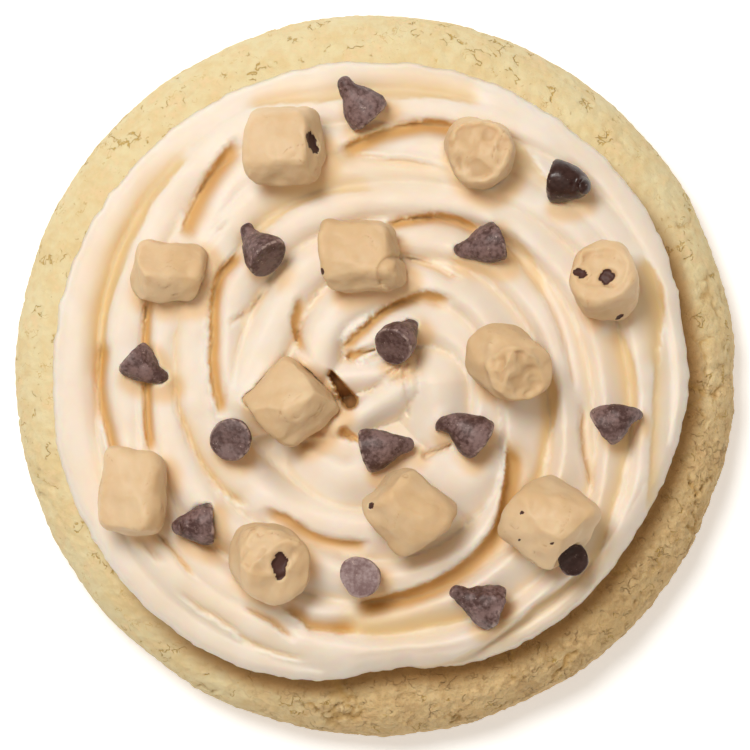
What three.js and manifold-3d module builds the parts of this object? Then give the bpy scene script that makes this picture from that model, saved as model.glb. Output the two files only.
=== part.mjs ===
// Cookie topped with piped frosting, pieces of cookie dough and chocolate chips.
// Millimetres, +Z up. The origin is the middle of the cookie's underside.
import * as THREE from 'three';
import { mergeVertices } from 'three/addons/utils/BufferGeometryUtils.js';
import Module from 'manifold-3d';

const gap = 0.3; // clear space wherever two pieces touch
const roundGrow = 1.15; // how much wider a dent is made, since the sides are facets
const seatShare = 0.5; // share of a topping's radius at which its seat is measured

// Cookie: a thick round with a rounded shoulder and a broken, craggy rim.
const cookieRadius = 56;
const cookieHeight = 16;
const cookieSegments = 96;
const cookieProfile = [ // radius and height, each as a share of the whole cookie's
  [0, 0], [0.72, 0], [0.94, 0], [0.975, 0.075], [0.995, 0.225], [1, 0.4],
  [0.99, 0.58], [0.962, 0.74], [0.92, 0.86], [0.865, 0.925], [0.8, 0.955], [0.6, 0.98], [0, 1],
];
const cragDepth = 0.55;
const cragShare = 0.7; // share of the crag that cuts inwards
const bareMargin = 1.2; // clear ring between the frosting and the first crag
const baseMargin = 0.01; // height up to which a point belongs to the flat underside
const cragSeed = 11;

// Frosting: outward spiral ridges around an eye that lies off the cookie's centre. Angles are
// degrees clockwise from +X, seen from above.
const eye = { x: 1.85, y: -3.77 };
const outlineStep = 15;
const outlineRadii = [
  45.7, 44.0, 42.9, 42.7, 42.5, 41.8, 41.1, 44.2, 46.5, 48.0, 49.2, 50.3,
  51.0, 51.8, 52.4, 52.6, 52.5, 52.1, 51.4, 50.9, 50.1, 49.3, 48.2, 46.5,
];
const ridgeStep = 30;
const ridges = [ // crest radii every 30 degrees, crest height from start to end, half widths
  { start: 240, inner: 4, outer: 4.6, high: 10.8, low: 8.8, radii: [
    9.5, 10.8, 12.6, 13.6, 13.9, 14.2, 15.8, 18.8, 20.5, 25.1,
    29, 32.3, 35.9, 35, 36.1, 38.5, 38.4, 40.5, 40.6] },
  { start: 210, inner: 3.2, outer: 3.8, high: 11.4, low: 8.2, radii: [
    12.2, 15, 16.4, 18.8, 18.5, 17.8, 20.7, 25.1, 26.7, 27,
    31.6, 34.2, 36.6, 40.5, 38.3, 40.2, 42.2] },
  { start: 180, inner: 3.2, outer: 3.8, high: 10.8, low: 8.2, radii: [
    21.4, 20.2, 23, 23.9, 25.1, 25.9, 26.6, 28.9, 30.7, 32, 35.6, 38.4, 35.5] },
  { start: 180, inner: 3.2, outer: 3.8, high: 10.4, low: 7.4, radii: [
    24.4, 28.1, 29.7, 30.1, 31.8, 32.6, 32.8, 36, 37.8, 37.9,
    39.1, 41.6, 39.9, 42.8, 46.2, 44.1, 45.8] },
  { start: 458, inner: 4, outer: 4.2, high: 6.4, low: 7, radii: [
    42.3, 44.4, 46.8, 48.3, 50.3, 49.4, 48.6, 46.7, 44.9, 43.5] },
];
const ridgeDrop = 2.8; // how far a ridge falls at its half width
const ridgeSharpness = 1.6;
const ridgeTaper = 16; // degrees over which the end of a ridge sinks away
const taperSink = 4; // how far it sinks
const petals = [ // last lobes of the piping, from one point to the other, above the cookie
  { from: [4.5, 0.5], to: [-5.4, -0.4], high: 11.6, low: 10.2, width: 2.6 },
  { from: [5.2, -1.3], to: [-5.1, -7.8], high: 11.8, low: 9.6, width: 3 },
  { from: [9.4, -1.3], to: [10, -8.7], high: 12.2, low: 11.2, width: 4.6 },
  { from: [14.2, -14.5], to: [-3.8, -14.5], high: 11, low: 10.6, width: 6 },
];
// Deep folds where one ridge laps over the next: the crisp edge as angles and radii, depth,
// width, and the way the wall faces: 1 towards the eye, -1 away from it.
const folds = [
  { angles: [217, 225, 235, 241], radii: [40.3, 41.8, 44.6, 46.2], depth: 3.2, width: 2.4, side: 1 },
  { angles: [258, 265, 270, 279, 287], radii: [38.6, 40.3, 41.5, 42.9, 43.5],
    depth: 3, width: 2.2, side: 1 },
  { angles: [166, 180, 190, 198, 204], radii: [37.1, 37.1, 37.8, 39.1, 40.1],
    depth: 2.6, width: 1.6, side: 1 },
  { angles: [160, 174, 180, 186, 200, 212, 224], radii: [42.6, 43.2, 43.9, 44.4, 45.2, 46.4, 47.2],
    depth: 2, width: 1.8, side: 1 },
  { angles: [173, 180, 190, 199, 210, 217, 227], radii: [25.4, 26, 27.2, 28.6, 30.8, 32.1, 32.2],
    depth: 2.8, width: 1.7, side: 1 },
  { angles: [205, 212, 219, 227, 233], radii: [14, 16.3, 18.6, 20.1, 20.9],
    depth: 3.2, width: 1.5, side: 1 },
  { angles: [267, 277, 286, 292, 301], radii: [26.7, 28.1, 29.4, 29.7, 29.8],
    depth: 3, width: 1.7, side: 1 },
  { angles: [223, 240, 254, 272, 290, 305], radii: [10.5, 10.9, 12.1, 14.8, 17.4, 18.1],
    depth: 3.2, width: 1.7, side: 1 },
  { angles: [272, 283, 297, 304], radii: [22, 21.8, 21.5, 22.4], depth: 2, width: 1, side: 1 },
  { angles: [18, 38, 50, 61, 76, 88, 100], radii: [18.9, 22.1, 24.9, 26.3, 28, 29.2, 31],
    depth: 3.4, width: 2.3, side: -1 },
  { angles: [95, 117, 130, 140], radii: [21.6, 22.6, 23.2, 24.3], depth: 2.6, width: 1.8, side: -1 },
  { angles: [96, 104, 109, 112, 119], radii: [36, 36.4, 36.9, 35.9, 35.1],
    depth: 1.8, width: 2, side: 1 },
];
const foldRun = [-0.6, 0.6]; // across the crisp edge, before and behind it
const foldTaper = 3; // length over which the end of a fold fades
const floorHeight = 3; // lowest frosting between the ridges
const edgeHeight = 0.6; // frosting at its outer edge
const wallRun = 3; // width of the rounded outer wall
const wallHeight = 7.6;
const wallSlope = 2; // how steeply the limit of the height climbs inside the wall
const edgeRings = [[0, 0], [0.5, 0], [0.94, 0], [1, 0.5]]; // underside and foot of the wall
const innerRings = 33;
const wallRings = [0.3, 0.8, 1.6]; // distances in from the edge
const innerMargin = 2.6;
const frostingSegments = 80;
const meanRadius = 50;

// Dough: stubby pieces cut from a rope. heading is anticlockwise from +X, rise is above level,
// both for the axis; square is the exponent of the section, 2 being round; lift raises a piece
// that rests on a crest.
const doughSink = 1.3;
const doughPieces = [
  { x: -13.8, y: 34.4, length: 10.2, radius: 6.2, heading: 0, rise: 16, square: 2.8 },
  { x: 15.8, y: 33.4, length: 9.6, radius: 5.6, heading: 240, rise: 84, square: 2.3 },
  { x: -31.2, y: 15.8, length: 11.2, radius: 4.8, heading: 175, rise: 5, square: 2.5 },
  { x: -2.3, y: 18.1, length: 10.6, radius: 5.8, heading: 0, rise: 12, square: 2.8 },
  { x: 34.6, y: 14.2, length: 10, radius: 5.3, heading: 112, rise: 66, square: 2.2 },
  { x: 20, y: 2.1, length: 10.8, radius: 5.1, heading: 327, rise: 50, square: 2.2 },
  { x: -12.7, y: -4.1, length: 11, radius: 5.8, heading: 40, rise: 8, square: 2.8, lift: 1.3 },
  { x: -36.9, y: -17.6, length: 11.6, radius: 5.3, heading: 264, rise: 14, square: 2.6 },
  { x: -16.2, y: -28.4, length: 10.2, radius: 5.5, heading: 315, rise: 62, square: 2.4 },
  { x: 5.4, y: -20.7, length: 11, radius: 5.4, heading: 130, rise: 15, square: 2.6 },
  { x: 26.2, y: -22.2, length: 11.6, radius: 5.7, heading: 325, rise: 26, square: 3.2 },
];
const doughProfile = [ // radius and distance from the middle, as shares of the piece's
  [0, -1], [0.72, -1], [0.95, -0.82], [1, -0.3], [1, 0.3], [0.95, 0.82], [0.72, 1], [0, 1],
];
const doughFill = 0.96; // share of the rope's section a squeezed piece keeps
const doughTaper = 0.12;
const doughLumps = [0.05, 0.03]; // two and three lumps round the section
const doughSlant = 0.05; // slope of the cut ends, as a share of the length
const doughSegments = 12;
const doughSeed = 21;

// Chocolate chips: small drops. The axis runs from the flat base to the tip, and curl bends
// the tip sideways.
const chipLength = 7.5;
const chipRadius = 3.25;
const chipSink = 0.9;
const chipRest = 0.72; // share of its length a chip rests on
const chipMiddle = 0.36; // how far along the chip its balance point lies
const chipProfile = [ // radius and distance from the base, as shares of the chip's
  [0.9, 0], [1, 0.09], [0.93, 0.28], [0.66, 0.53], [0.41, 0.74], [0.3, 0.93],
];
const curlStart = 0.45;
const curlTurn = 1.9; // radians of bend over a whole length
const chips = [
  { x: -2.3, y: 41.1, heading: 130, rise: 12, curl: 0.1, size: 1.05 },
  { x: 29.4, y: 29, heading: 350, rise: 15, curl: -1, size: 1.05 },
  { x: -17.4, y: 19, heading: 131, rise: -36, curl: 0.25, size: 1.05 },
  { x: 16.3, y: 19.5, heading: 200, rise: 8, curl: -0.6, size: 1.02 },
  { x: -35.1, y: 1.3, heading: 318, rise: 10, curl: 0.5, size: 0.92 },
  { x: -21.4, y: -9.6, heading: 20, rise: -78, curl: 0, size: 1 },
  { x: 3.7, y: 5.5, heading: 48, rise: -46, curl: 0, size: 1 },
  { x: 1.1, y: -11, heading: 12, rise: 14, curl: 0.5, size: 1.05 },
  { x: 13.7, y: -8.4, heading: 145, rise: 14, curl: -0.9, size: 1.1 },
  { x: 36.3, y: -6.8, heading: 33, rise: 14, curl: 0.8, size: 1 },
  { x: -27.2, y: -22.7, heading: 184, rise: 6, curl: 0.9, size: 0.98 },
  { x: -2, y: -30.5, heading: 0, rise: -84, curl: 0, size: 0.96 },
  { x: 15.8, y: -34.5, heading: 160, rise: 10, curl: 0.3, size: 1.12 },
];
const pressedChip = { x: 29.3, y: -27.3, z: 29, heading: 128, rise: -64, curl: 0, size: 0.82 };
const chipSegments = 8;

const wasm = await Module();
wasm.setup();

const radians = THREE.MathUtils.degToRad;

function seededRandom(seed) {
  let state = seed;
  return () => {
    state = (state * 16807) % 2147483647;
    return state / 2147483647;
  };
}

// Smooth curve through evenly spaced values, at a place counted in steps.
function through(values, place) {
  const last = values.length - 1;
  const first = Math.min(Math.max(Math.floor(place), 0), last - 1);
  const part = place - first;
  const before = first > 0 ? values[first - 1] : 2 * values[0] - values[1];
  const after = first + 2 <= last ? values[first + 2] : 2 * values[last] - values[last - 1];
  const [start, end] = [values[first], values[first + 1]];
  return 0.5 * (2 * start + (end - before) * part
    + (2 * before - 5 * start + 4 * end - after) * part ** 2
    + (3 * start - before - 3 * end + after) * part ** 3);
}

// A profile of [radius, height] turned round Z, then each point moved by reshape.
function turned(profile, segments, reshape) {
  const points = profile.map(([radius, height]) => new THREE.Vector2(radius, height));
  const lathe = new THREE.LatheGeometry(points, segments);
  lathe.rotateX(Math.PI / 2);
  lathe.deleteAttribute('normal');
  lathe.deleteAttribute('uv');
  const geometry = mergeVertices(lathe, 1e-4);
  const corners = [];
  for (let face = 0; face < geometry.index.count; face += 3) {
    const [a, b, c] = [0, 1, 2].map((step) => geometry.index.getX(face + step));
    if (a !== b && b !== c && c !== a) corners.push(a, b, c);
  }
  geometry.setIndex(corners);
  const place = geometry.getAttribute('position');
  const point = new THREE.Vector3();
  for (let index = 0; index < place.count; index++) {
    point.fromBufferAttribute(place, index);
    reshape(point);
    place.setXYZ(index, point.x, point.y, point.z);
  }
  geometry.computeVertexNormals();
  return geometry;
}

function toManifold(geometry) {
  return new wasm.Manifold(new wasm.Mesh({
    numProp: 3,
    vertProperties: new Float32Array(geometry.getAttribute('position').array),
    triVerts: new Uint32Array(geometry.index.array),
  }));
}

function fromManifold(solid) {
  const mesh = solid.getMesh();
  const geometry = new THREE.BufferGeometry();
  geometry.setAttribute('position', new THREE.BufferAttribute(mesh.vertProperties, 3));
  geometry.setIndex(new THREE.BufferAttribute(mesh.triVerts, 1));
  geometry.computeVertexNormals();
  return geometry;
}

function outlineAt(angle) {
  const around = [outlineRadii.at(-1), ...outlineRadii, outlineRadii[0], outlineRadii[1]];
  return through(around, angle / outlineStep + 1);
}

// Height of the cookie's smooth top at a distance from its centre.
function cookieTop(distance) {
  const top = cookieProfile.slice(8);
  const share = distance / cookieRadius;
  const outer = top.findIndex(([radius]) => radius <= share);
  if (outer < 1) return top[0][1] * cookieHeight;
  const [[farRadius, farHeight], [nearRadius, nearHeight]] = [top[outer - 1], top[outer]];
  const mix = (share - nearRadius) / (farRadius - nearRadius);
  return THREE.MathUtils.lerp(nearHeight, farHeight, mix) * cookieHeight;
}

// Where a point lies around the eye of the swirl.
function polar(x, y) {
  const angle = THREE.MathUtils.radToDeg(Math.atan2(eye.y - y, x - eye.x));
  return { radius: Math.hypot(x - eye.x, y - eye.y), angle: (angle + 360) % 360 };
}

function ridgeHeight(ridge, radius, angle) {
  const end = ridge.start + ridgeStep * (ridge.radii.length - 1);
  let height = 0;
  for (let around = angle; around <= end + ridgeTaper; around += 360) {
    if (around < ridge.start - ridgeTaper) continue;
    const held = THREE.MathUtils.clamp(around, ridge.start, end);
    const place = (held - ridge.start) / ridgeStep;
    const crest = through(ridge.radii, place);
    const width = radius > crest ? ridge.outer : ridge.inner;
    const top = THREE.MathUtils.lerp(ridge.high, ridge.low, place / (ridge.radii.length - 1));
    const fall = ridgeDrop * Math.abs((radius - crest) / width) ** ridgeSharpness;
    const sunk = taperSink * ((around - held) / ridgeTaper) ** 2;
    height = Math.max(height, top - fall - sunk);
  }
  return height;
}

function petalHeight(petal, x, y) {
  const [run, climb] = [petal.to[0] - petal.from[0], petal.to[1] - petal.from[1]];
  const reach = ((x - petal.from[0]) * run + (y - petal.from[1]) * climb) / (run ** 2 + climb ** 2);
  const along = THREE.MathUtils.clamp(reach, 0, 1);
  const aside = Math.hypot(x - petal.from[0] - along * run, y - petal.from[1] - along * climb);
  const top = THREE.MathUtils.lerp(petal.high, petal.low, along);
  return top - ridgeDrop * (aside / petal.width) ** 2;
}

// Value at a place on a line through points, held level beyond both ends.
function between(places, values, place) {
  const end = places.findIndex((stop) => stop > place);
  if (end === 0) return values[0];
  if (end < 0) return values.at(-1);
  const part = (place - places[end - 1]) / (places[end] - places[end - 1]);
  return THREE.MathUtils.lerp(values[end - 1], values[end], part);
}

function foldDepth(fold, radius, angle) {
  const edge = between(fold.angles, fold.radii, angle);
  const fromEnd = Math.min(angle - fold.angles[0], fold.angles.at(-1) - angle);
  const strength = THREE.MathUtils.smoothstep(radians(fromEnd) * edge, 0, foldTaper);
  const inside = fold.side * (edge - radius);
  const open = THREE.MathUtils.smoothstep(inside, ...foldRun);
  return fold.depth * strength * open * Math.exp(-((Math.max(inside, 0) / fold.width) ** 2));
}

// Height of the frosting above the cookie.
function frostingHeight(x, y) {
  const { radius, angle } = polar(x, y);
  const crests = ridges.map((ridge) => ridgeHeight(ridge, radius, angle));
  const lobes = petals.map((petal) => petalHeight(petal, x, y));
  const depths = folds.map((fold) => foldDepth(fold, radius, angle));
  const swirl = Math.max(floorHeight, ...crests, ...lobes) - Math.max(...depths);
  const inward = Math.max(outlineAt(angle) - radius, 0);
  const share = Math.min(inward / wallRun, 1);
  const wall = edgeHeight + wallHeight * Math.sqrt(1 - (1 - share) ** 2);
  return Math.min(swirl, wall + wallSlope * Math.max(inward - wallRun, 0));
}

function frostingTop(x, y) {
  return cookieTop(Math.hypot(x, y)) + gap + frostingHeight(x, y);
}

// The cookie, smooth where the frosting lies and broken where it shows.
function cookieGeometry() {
  const random = seededRandom(cragSeed);
  const profile = cookieProfile.map(([radius, height]) => [radius * cookieRadius, height * cookieHeight]);
  return turned(profile, cookieSegments, (point) => {
    const distance = Math.hypot(point.x, point.y);
    const { radius, angle } = polar(point.x, point.y);
    const flatBase = point.z < baseMargin;
    const bare = radius > outlineAt(angle) + bareMargin || point.z < cookieHeight / 2;
    if (flatBase || !bare) return;
    const crag = (random() - cragShare) * cragDepth;
    point.x += crag * point.x / distance;
    point.y += crag * point.y / distance;
    point.z += crag * random();
  });
}

// The whole swirl before the toppings are pressed in.
function frostingGeometry() {
  const rings = [...edgeRings, ...wallRings.map((inward) => [1 - inward / meanRadius, 1])];
  for (let ring = innerRings; ring >= 0; ring--) {
    rings.push([ring / innerRings * (1 - innerMargin / meanRadius), 1]);
  }
  return turned(rings, frostingSegments, (point) => {
    const share = Math.hypot(point.x, point.y);
    const turn = Math.atan2(point.y, point.x);
    const angle = (360 - THREE.MathUtils.radToDeg(turn)) % 360;
    const radius = share * outlineAt(angle);
    const [x, y] = [eye.x + radius * Math.cos(turn), eye.y + radius * Math.sin(turn)];
    const under = cookieTop(Math.hypot(x, y)) + gap;
    const above = point.z === 1 ? frostingHeight(x, y) : point.z * edgeHeight;
    point.set(x, y, under + above);
  });
}

function doughGeometry(piece, grow, seed) {
  const random = seededRandom(seed);
  const [half, radius] = [piece.length / 2 + grow, piece.radius + roundGrow * grow];
  const [lobe, bend] = [random() * Math.PI, random() * Math.PI];
  const taper = (random() - 0.5) * doughTaper;
  const profile = doughProfile.map(([across, along]) => [across * radius, along * half]);
  return turned(profile, doughSegments, (point) => {
    const turn = Math.atan2(point.y, point.x);
    const corner = Math.abs(Math.cos(turn)) ** piece.square + Math.abs(Math.sin(turn)) ** piece.square;
    const section = corner ** (-1 / piece.square) * doughFill;
    const [pair, trio] = doughLumps;
    const lump = 1 + pair * Math.sin(2 * turn + lobe) + trio * Math.sin(3 * turn + bend);
    const along = point.z / half;
    point.x *= section * lump * (1 + taper * along);
    point.y *= section * lump * (1 + taper * along);
    const slant = doughSlant * piece.length * Math.sin(turn + bend);
    point.z += slant * Math.hypot(point.x, point.y) / radius;
  });
}

function chipGeometry(chip, grow) {
  const [length, radius] = [chipLength * chip.size, chipRadius * chip.size];
  const base = -length * chipMiddle;
  const outline = chipProfile.map(([across, along]) => [
    radius * across + roundGrow * grow, base + length * along,
  ]);
  outline[0][1] -= grow;
  const profile = [[0, base - grow], ...outline, [0, base + length + 2 * grow]];
  const bendStart = base + length * curlStart;
  return turned(profile, chipSegments, (point) => {
    const reach = Math.max(point.z - bendStart, 0);
    if (reach === 0) return;
    const bend = chip.curl * curlTurn * reach / length;
    const [across, climb] = [point.x, point.z - bendStart];
    point.x = across * Math.cos(bend) + climb * Math.sin(bend);
    point.z = bendStart + climb * Math.cos(bend) - across * Math.sin(bend);
  });
}

// Turn that carries +Z onto an axis given by its heading and rise.
function axisTurn({ heading, rise }) {
  const level = Math.cos(radians(rise));
  const axis = new THREE.Vector3(
    level * Math.cos(radians(heading)),
    level * Math.sin(radians(heading)),
    Math.sin(radians(rise)),
  );
  return new THREE.Quaternion().setFromUnitVectors(new THREE.Vector3(0, 0, 1), axis);
}

// Middle height of a topping that is pressed a little way into the frosting.
function seatHeight(topping, length, radius, sink) {
  const around = [0, 60, 120, 180, 240, 300].map((turn) => frostingTop(
    topping.x + seatShare * radius * Math.cos(radians(turn)),
    topping.y + seatShare * radius * Math.sin(radians(turn)),
  ));
  const seat = around.reduce((sum, height) => sum + height, 0) / around.length;
  const rise = radians(Math.abs(topping.rise));
  return seat + length / 2 * Math.sin(rise) + radius * Math.cos(rise) - sink;
}

const materials = {
  cookie: new THREE.MeshStandardMaterial({ color: 0xe3c98c, roughness: 0.85, metalness: 0 }),
  frosting: new THREE.MeshStandardMaterial({ color: 0xf7e6d3, roughness: 0.5, metalness: 0 }),
  dough: new THREE.MeshStandardMaterial({ color: 0xe8c196, roughness: 0.6, metalness: 0 }),
  chocolate: new THREE.MeshStandardMaterial({ color: 0x5a3f3c, roughness: 0.45, metalness: 0 }),
};

function placedMesh(name, geometry, material, place, turn) {
  const mesh = new THREE.Mesh(geometry, material);
  mesh.name = name;
  mesh.position.copy(place);
  mesh.quaternion.copy(turn);
  mesh.updateMatrix();
  return mesh;
}

function doughMesh(piece, index, grow = 0) {
  const number = String(index + 1).padStart(2, '0');
  const height = seatHeight(piece, piece.length, piece.radius, doughSink - (piece.lift ?? 0));
  const place = new THREE.Vector3(piece.x, piece.y, height);
  const geometry = doughGeometry(piece, grow, index + doughSeed);
  return placedMesh(`dough_chunk_${number}`, geometry, materials.dough, place, axisTurn(piece));
}

function chipMesh(chip, index, grow = 0) {
  const number = String(index + 1).padStart(2, '0');
  const [length, radius] = [chipLength * chip.size * chipRest, chipRadius * chip.size];
  const height = chip.z ?? seatHeight(chip, length, radius, chipSink);
  const place = new THREE.Vector3(chip.x, chip.y, height);
  const geometry = chipGeometry(chip, grow);
  return placedMesh(`chip_${number}`, geometry, materials.chocolate, place, axisTurn(chip));
}

// A mesh's solid in the place where the mesh stands.
function standing(mesh) {
  return toManifold(mesh.geometry.clone().applyMatrix4(mesh.matrix));
}

const allChips = [...chips, pressedChip];
const doughMeshes = doughPieces.map((piece, index) => doughMesh(piece, index));
const chipMeshes = allChips.map((chip, index) => chipMesh(chip, index));

// The last dough piece holds the pressed chip in a pocket.
const holder = doughMeshes.at(-1);
const pocket = standing(chipMesh(pressedChip, chips.length, gap));
const back = holder.matrix.clone().invert();
holder.geometry = fromManifold(standing(holder).subtract(pocket)).applyMatrix4(back);

// Every topping leaves its own dent in the frosting.
let swirl = toManifold(frostingGeometry());
doughPieces.forEach((piece, index) => {
  swirl = swirl.subtract(standing(doughMesh(piece, index, gap)));
});
allChips.forEach((chip, index) => {
  swirl = swirl.subtract(standing(chipMesh(chip, index, gap)));
});

const origin = new THREE.Vector3();
const upright = new THREE.Quaternion();
const group = new THREE.Group();
group.add(placedMesh('cookie', cookieGeometry(), materials.cookie, origin, upright));
group.add(placedMesh('frosting', fromManifold(swirl), materials.frosting, origin, upright));
group.add(...doughMeshes, ...chipMeshes);

export default group;
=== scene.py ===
import math
import random
import bpy
import numpy as np
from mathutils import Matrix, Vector, noise
from mathutils.bvhtree import BVHTree


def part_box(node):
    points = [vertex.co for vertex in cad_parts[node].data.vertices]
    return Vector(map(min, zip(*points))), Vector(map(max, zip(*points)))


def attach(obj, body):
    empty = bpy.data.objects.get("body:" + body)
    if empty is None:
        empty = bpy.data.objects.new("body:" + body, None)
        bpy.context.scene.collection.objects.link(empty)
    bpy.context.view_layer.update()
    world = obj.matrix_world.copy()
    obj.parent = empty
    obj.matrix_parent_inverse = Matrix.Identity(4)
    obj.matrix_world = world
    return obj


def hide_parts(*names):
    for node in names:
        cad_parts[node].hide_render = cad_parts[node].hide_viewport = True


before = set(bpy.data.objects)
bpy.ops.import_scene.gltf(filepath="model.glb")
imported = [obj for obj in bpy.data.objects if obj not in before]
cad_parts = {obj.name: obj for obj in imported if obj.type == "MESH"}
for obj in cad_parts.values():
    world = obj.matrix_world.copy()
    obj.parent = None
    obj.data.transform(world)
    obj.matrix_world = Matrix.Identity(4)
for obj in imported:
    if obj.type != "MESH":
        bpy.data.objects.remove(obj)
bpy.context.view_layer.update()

mm = 0.001
weld = 0.00001    # points closer than this are merged


# working helpers

def deselectAll():
    if bpy.context.mode != "OBJECT":
        bpy.ops.object.mode_set(mode="OBJECT")
    bpy.ops.object.select_all(action="DESELECT")


def pick(piece):
    deselectAll()
    piece.select_set(True)
    bpy.context.view_layer.objects.active = piece


def readPoints(piece):
    points = np.empty(len(piece.data.vertices) * 3)
    piece.data.vertices.foreach_get("co", points)
    return points.reshape(-1, 3)


def writePoints(piece, points):
    piece.data.vertices.foreach_set("co", np.ascontiguousarray(points).ravel())
    piece.data.update()


def readNormals(piece):
    return np.array([vertex.normal for vertex in piece.data.vertices])


def readValues(piece, name):
    values = np.empty(len(piece.data.vertices), dtype=np.float32)
    piece.data.attributes[name].data.foreach_get("value", values)
    return values


def keepValues(piece, name, values):
    layers = piece.data.attributes
    layer = layers[name] if name in layers else layers.new(name, "FLOAT", "POINT")
    layer.data.foreach_set("value", np.ascontiguousarray(values, dtype=np.float32))


def editMesh(piece, *steps):
    pick(piece)
    bpy.ops.object.mode_set(mode="EDIT")
    bpy.ops.mesh.select_all(action="SELECT")
    for step in steps:
        step()
    bpy.ops.object.mode_set(mode="OBJECT")


def closeMesh(piece):
    editMesh(piece,
             lambda: bpy.ops.mesh.remove_doubles(threshold=weld),
             lambda: bpy.ops.mesh.normals_make_consistent(inside=False))


def smoothShade(piece):
    pick(piece)
    bpy.ops.object.shade_smooth()


def addModifier(piece, kind, **settings):
    modifier = piece.modifiers.new(kind.lower(), kind)
    for name, value in settings.items():
        setattr(modifier, name, value)
    pick(piece)
    bpy.ops.object.modifier_apply(modifier=modifier.name)


def spunDisc(name, stations, segments):
    # a row of points along +X spun all the way round. The row is one unit to a station, and
    # subdivide makes at most 100 cuts, so a longer row has 102 points and skips some stations
    deselectAll()
    bpy.ops.mesh.primitive_plane_add(size=1, location=(0, 0, 0))
    piece = bpy.context.active_object
    piece.name = name
    piece.data.name = name
    bpy.ops.object.mode_set(mode="EDIT")
    bpy.ops.mesh.select_all(action="SELECT")
    bpy.ops.mesh.merge(type="CENTER")
    bpy.ops.mesh.extrude_region_move(TRANSFORM_OT_translate={"value": (stations - 1, 0, 0)})
    bpy.ops.mesh.select_all(action="SELECT")
    bpy.ops.mesh.subdivide(number_cuts=stations - 2)
    bpy.ops.mesh.select_all(action="SELECT")
    bpy.ops.mesh.spin(steps=segments, angle=2 * math.pi, center=(0, 0, 0), axis=(0, 0, 1))
    bpy.ops.mesh.select_all(action="SELECT")
    bpy.ops.mesh.remove_doubles(threshold=0.001)
    bpy.ops.object.mode_set(mode="OBJECT")
    points = readPoints(piece)
    station = np.rint(np.hypot(points[:, 0], points[:, 1])).astype(int)
    turn = np.arctan2(points[:, 1], points[:, 0])
    return piece, station, turn


def spun(radius, turn, height):
    return np.column_stack([radius * np.cos(turn), radius * np.sin(turn), height])


def fractal(points, size, octaves=3):
    return np.array([noise.fractal(Vector(point) / size, 0.9, 2.0, octaves) for point in points])


def ramp(value, low, high):
    share = np.clip((value - low) / (high - low), 0, 1)
    return share * share * (3 - 2 * share)


def band(value, middle, width):
    # 1 at the middle, fading away on both sides of it
    return np.exp(-((value - middle) / width) ** 2)


def direction(heading, rise):
    # heading is anticlockwise from +X, rise is above level
    level = math.cos(math.radians(rise))
    return Vector((level * math.cos(math.radians(heading)), level * math.sin(math.radians(heading)),
                   math.sin(math.radians(rise))))


def turnedTo(points, heading, rise):
    # points made along +Z, turned onto a direction
    turn = Vector((0, 0, 1)).rotation_difference(direction(heading, rise))
    return points @ np.array(turn.to_matrix()).T


# camera, floor and light

view = {
    "cameraHeight": 1.5,
    "lens": 468.0, "sensor": 36, "clipEnd": 20,
    "floorSize": 3.0, "floorDrop": 0.0002,
    "floor": {"Base Color": (0.86, 0.90, 0.94, 1), "Roughness": 0.7,
              "Emission Color": (1.0, 0.98, 0.95, 1), "Emission Strength": 0.42},
    # heading and rise of each light, its distance, size, power and tint
    "lights": {
        "key": (126, 66, 1.3, 0.5, 11.6, (1.0, 0.975, 0.94)),
        "fill": (300, 60, 1.4, 1.2, 1.7, (1.0, 0.92, 0.82)),
    },
    "world": {"Color": (1.0, 0.82, 0.63, 1), "Strength": 0.29},
}


def setInputs(node, values):
    for name, value in values.items():
        node.inputs[name].default_value = value


def addLight(name, heading, rise, distance, size, power, tint):
    data = bpy.data.lights.new(name, "AREA")
    data.shape = "DISK"
    data.size = size
    data.energy = power
    data.color = tint
    light = bpy.data.objects.new(name, data)
    bpy.context.collection.objects.link(light)
    away = direction(heading, rise)
    light.location = away * distance
    light.rotation_euler = away.to_track_quat("Z", "Y").to_euler()


def makeView():
    scene = bpy.context.scene
    cameraData = bpy.data.cameras.new("camera")
    camera = bpy.data.objects.new("camera", cameraData)
    bpy.context.collection.objects.link(camera)
    camera.location = (0, 0, view["cameraHeight"])
    cameraData.lens = view["lens"]
    cameraData.sensor_width = view["sensor"]
    cameraData.clip_end = view["clipEnd"]
    scene.camera = camera

    deselectAll()
    bpy.ops.mesh.primitive_plane_add(size=view["floorSize"], location=(0, 0, -view["floorDrop"]))
    floor = bpy.context.active_object
    floor.name = "floor"
    floorMaterial = bpy.data.materials.new("pale_floor")
    floorMaterial.use_nodes = True
    setInputs(floorMaterial.node_tree.nodes["Principled BSDF"], view["floor"])
    floor.data.materials.append(floorMaterial)

    for name, settings in view["lights"].items():
        addLight(name, *settings)

    world = bpy.data.worlds.new("studio")
    scene.world = world
    world.use_nodes = True
    setInputs(world.node_tree.nodes["Background"], view["world"])
    scene.view_settings.view_transform = "Standard"
    scene.view_settings.look = "None"


makeView()
print("view ready")


# the swirl, in millimetres: angles are degrees clockwise from +X, seen from above

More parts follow.
